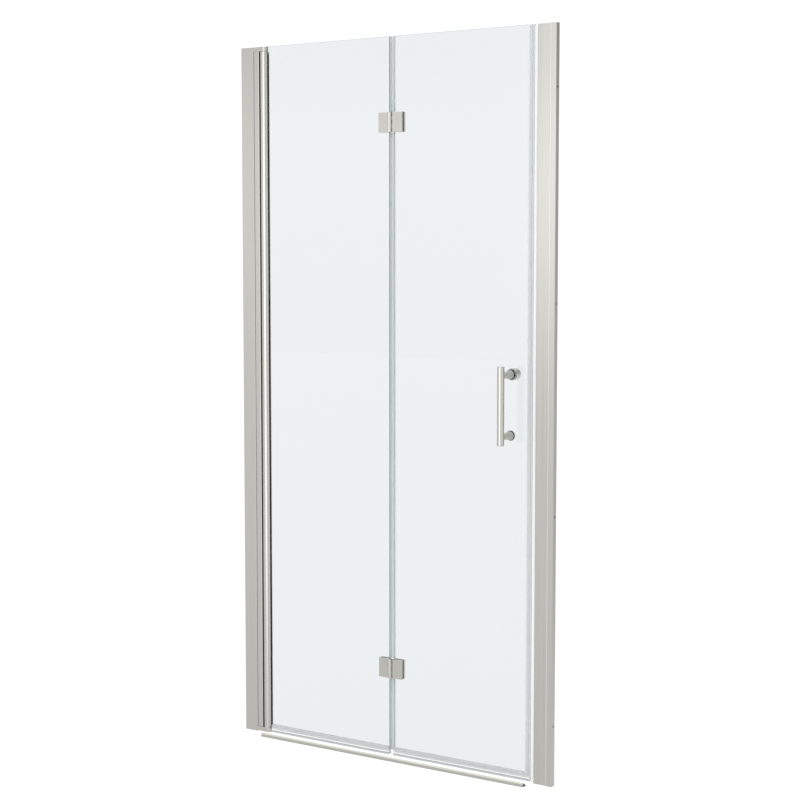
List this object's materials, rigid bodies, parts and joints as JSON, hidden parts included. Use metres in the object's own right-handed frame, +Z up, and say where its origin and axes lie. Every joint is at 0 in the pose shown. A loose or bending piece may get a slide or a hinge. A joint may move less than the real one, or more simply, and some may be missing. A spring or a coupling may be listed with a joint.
{
  "type": "bifold shower door",
  "caption": "Bifold shower door with frameless glass leaves, a pivot post, outside fold hinges, bar handle, wall profiles, clear seals and a threshold bar.",
  "frame": {"origin": "foot of the left wall face, at tray level, in the middle plane of the glass", "axes": "+X along the closed door from the left wall to the right wall, +Y into the shower, +Z up"},
  "size_m": [0.96, 0.0836, 1.85],
  "materials": {
    "brushed_profile": "vertically brushed, anodised in a nickel tone",
    "bracket_metal": "satin grey zinc casting",
    "screw_steel": "stainless steel",
    "cover_plastic": "nickel coloured plastic",
    "black_rubber": "matt black rubber",
    "bearing_nylon": "nickel coloured nylon",
    "white_magnet": "white magnetic strip",
    "clear_pvc": "clear soft plastic",
    "tempered_glass": "clear toughened glass",
    "satin_hardware": "satin nickel",
    "threshold_aluminium": "bright anodised"
  },
  "bodies": {
    "frame": {"left_wall_profile": "brushed_profile", "left_adjusting_profile": "brushed_profile", "left_profile_screws": "screw_steel", "left_screw_caps": "cover_plastic", "left_top_cap": "brushed_profile", "post_wiper_seal": "black_rubber", "top_pivot_bracket": "bracket_metal", "bottom_pivot_bracket": "bracket_metal", "bracket_screws": "screw_steel", "top_pivot_pin": "screw_steel", "bottom_pivot_pin": "screw_steel", "pivot_washers": "screw_steel", "right_wall_profile": "brushed_profile", "right_adjusting_profile": "brushed_profile", "right_profile_screws": "screw_steel", "right_screw_caps": "cover_plastic", "right_top_cap": "brushed_profile", "right_bottom_cap": "brushed_profile", "frame_magnet_strip": "white_magnet", "threshold_bar": "threshold_aluminium"},
    "left_leaf": {"pivot_post": "brushed_profile", "post_top_cap": "bearing_nylon", "post_bottom_cap": "bearing_nylon", "post_gasket": "black_rubber", "left_glass": "tempered_glass", "left_bottom_seal": "clear_pvc", "upper_left_hinge_plate": "satin_hardware", "lower_left_hinge_plate": "satin_hardware", "upper_left_back_plate": "satin_hardware", "lower_left_back_plate": "satin_hardware", "left_hinge_gaskets": "black_rubber", "left_hinge_screws": "screw_steel"},
    "right_leaf": {"right_glass": "tempered_glass", "centre_seal": "clear_pvc", "door_magnet_seal": "clear_pvc", "door_magnet": "white_magnet", "right_bottom_seal": "clear_pvc", "upper_right_hinge_plate": "satin_hardware", "lower_right_hinge_plate": "satin_hardware", "upper_right_back_plate": "satin_hardware", "lower_right_back_plate": "satin_hardware", "right_hinge_gaskets": "black_rubber", "right_hinge_screws": "screw_steel", "upper_hinge_pin": "screw_steel", "lower_hinge_pin": "screw_steel", "handle_bar": "satin_hardware", "upper_handle_post": "satin_hardware", "lower_handle_post": "satin_hardware", "handle_gaskets": "black_rubber", "inside_knob": "satin_hardware", "back_cap": "satin_hardware", "handle_studs": "screw_steel"}
  },
  "joints": [
    {"name": "left_leaf_pivot", "type": "hinge", "parent": "frame", "child": "left_leaf", "pos_m": [0.0745, 0, 0.925], "axis": [0, 0, 1], "range_deg": [0, 90]},
    {"name": "fold_hinge", "type": "hinge", "parent": "left_leaf", "child": "right_leaf", "pos_m": [0.483, -0.0106, 0.925], "axis": [0, 0, 1], "range_deg": [-170, 0]}
  ],
  "couplings": [
    {"joint": "fold_hinge", "follows": "left_leaf_pivot", "ratio": -1.8888}
  ]
}
